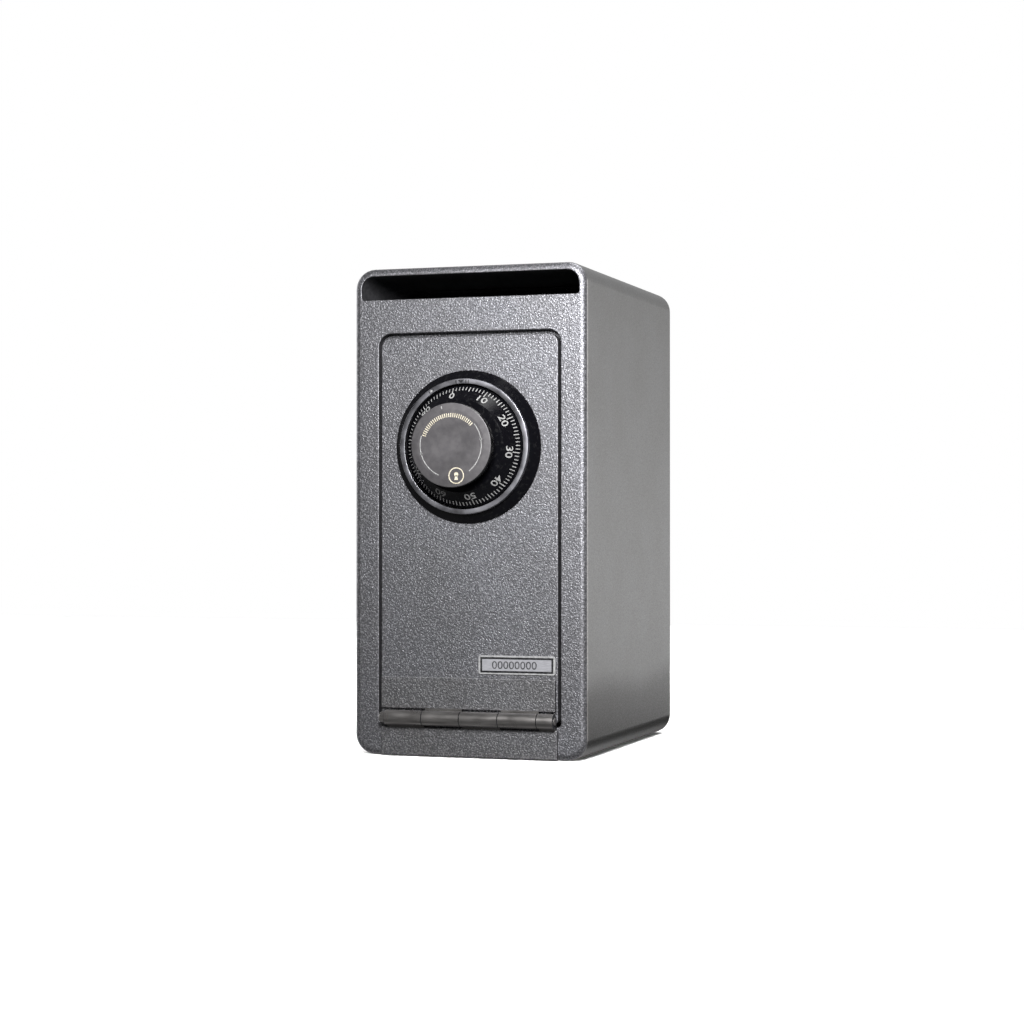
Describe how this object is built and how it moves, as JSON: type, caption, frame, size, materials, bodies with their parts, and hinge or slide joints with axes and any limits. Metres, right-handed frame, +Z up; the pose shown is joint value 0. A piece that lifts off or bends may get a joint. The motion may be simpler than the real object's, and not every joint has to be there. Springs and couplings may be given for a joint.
{
  "type": "wall safe",
  "caption": "Compact steel depository safe with a full-width deposit slot, a baffled chute, a drop-down hinged door and a working dial combination lock.",
  "frame": {"origin": "centre of the casing's flat base, on the surface it stands on", "axes": "+X right seen from the front, +Y from the door towards the back, +Z up"},
  "size_m": [0.1524, 0.2354, 0.3048],
  "materials": {
    "paint": "metallic grey hammertone powder coat, fine wrinkled grain, satin",
    "chute_black": "matt black primer",
    "hinge_steel": "thin darker grey-brown paint over steel, satin",
    "steel": "bright zinc-plated steel",
    "spring_steel": "oiled spring steel",
    "zinc": "die-cast zinc, as cast",
    "brass": "machined brass",
    "dial_black": "deep gloss black",
    "knob_black": "gloss black, fluted edge",
    "cap_grey": "satin grey anodised disc",
    "satin_rim": "satin silver rim of the dial ring",
    "mark_white": "white filled graduations and marks",
    "label": "brushed silver foil label with a black border"
  },
  "bodies": {
    "casing": {"body_shell": "paint", "back_plate": "paint", "front_frame": "paint", "door_stop_left": "paint", "door_stop_right": "paint", "door_stop_top": "paint", "strike_plate": "steel", "chute_ramp": "chute_black", "anti_fish_baffle": "chute_black", "hinge_lower_leaf": "hinge_steel", "hinge_pin": "hinge_steel"},
    "door": {"door_plate": "paint", "dead_bar": "paint", "hinge_upper_leaf": "hinge_steel", "serial_label": "label", "dial_ring": "dial_black", "dial_ring_screw_left": "steel", "dial_ring_screw_right": "steel", "spindle_tube": "brass", "lock_case": "zinc", "lock_cover": "zinc", "lock_mount_screw_1": "steel", "lock_mount_screw_2": "steel", "lock_mount_screw_3": "steel", "lock_mount_screw_4": "steel", "cover_screw_1": "steel", "cover_screw_2": "steel", "wheel_retaining_clip": "spring_steel", "wheel_spacer_1": "steel", "wheel_spacer_2": "steel"},
    "dial_set": {"dial": "dial_black", "knob": "knob_black", "knob_cap": "cap_grey", "spindle": "steel", "drive_cam": "brass", "spline_key": "steel"},
    "wheel_one": {"wheel_1": "brass"},
    "wheel_two": {"wheel_2": "brass"},
    "wheel_three": {"wheel_3": "brass"},
    "bolt_set": {"lock_bolt": "brass", "bolt_extension": "steel", "extension_screw_left": "steel", "extension_screw_right": "steel", "lever_screw": "steel", "lever_spring": "spring_steel"},
    "lever_arm": {"lever": "brass"}
  },
  "joints": [
    {"name": "door_hinge", "type": "hinge", "parent": "casing", "child": "door", "pos_m": [0, -0.1066, 0.0241], "axis": [1, 0, 0], "range_deg": [0, 88]},
    {"name": "dial_spin", "type": "hinge", "parent": "door", "child": "dial_set", "pos_m": [0, -0.1016, 0.1923], "axis": [0, -1, 0], "continuous": true},
    {"name": "wheel_one_spin", "type": "hinge", "parent": "door", "child": "wheel_one", "pos_m": [0, -0.1016, 0.1923], "axis": [0, -1, 0], "continuous": true},
    {"name": "wheel_two_spin", "type": "hinge", "parent": "door", "child": "wheel_two", "pos_m": [0, -0.1016, 0.1923], "axis": [0, -1, 0], "continuous": true},
    {"name": "wheel_three_spin", "type": "hinge", "parent": "door", "child": "wheel_three", "pos_m": [0, -0.1016, 0.1923], "axis": [0, -1, 0], "continuous": true},
    {"name": "bolt_slide", "type": "slide", "parent": "door", "child": "bolt_set", "axis": [0, 0, 1], "range_m": [0, 0.01]},
    {"name": "lever_pivot", "type": "hinge", "parent": "bolt_set", "child": "lever_arm", "pos_m": [0.009, -0.0895, 0.2143], "axis": [0, -1, 0], "range_deg": [0, 3], "stiffness_Nm_per_rad": 0.02, "springref_deg": -28.65}
  ],
  "couplings": [
    {"joint": "wheel_one_spin", "follows": "dial_spin", "ratio": 1},
    {"joint": "wheel_two_spin", "follows": "dial_spin", "ratio": 1},
    {"joint": "wheel_three_spin", "follows": "dial_spin", "ratio": 1}
  ]
}
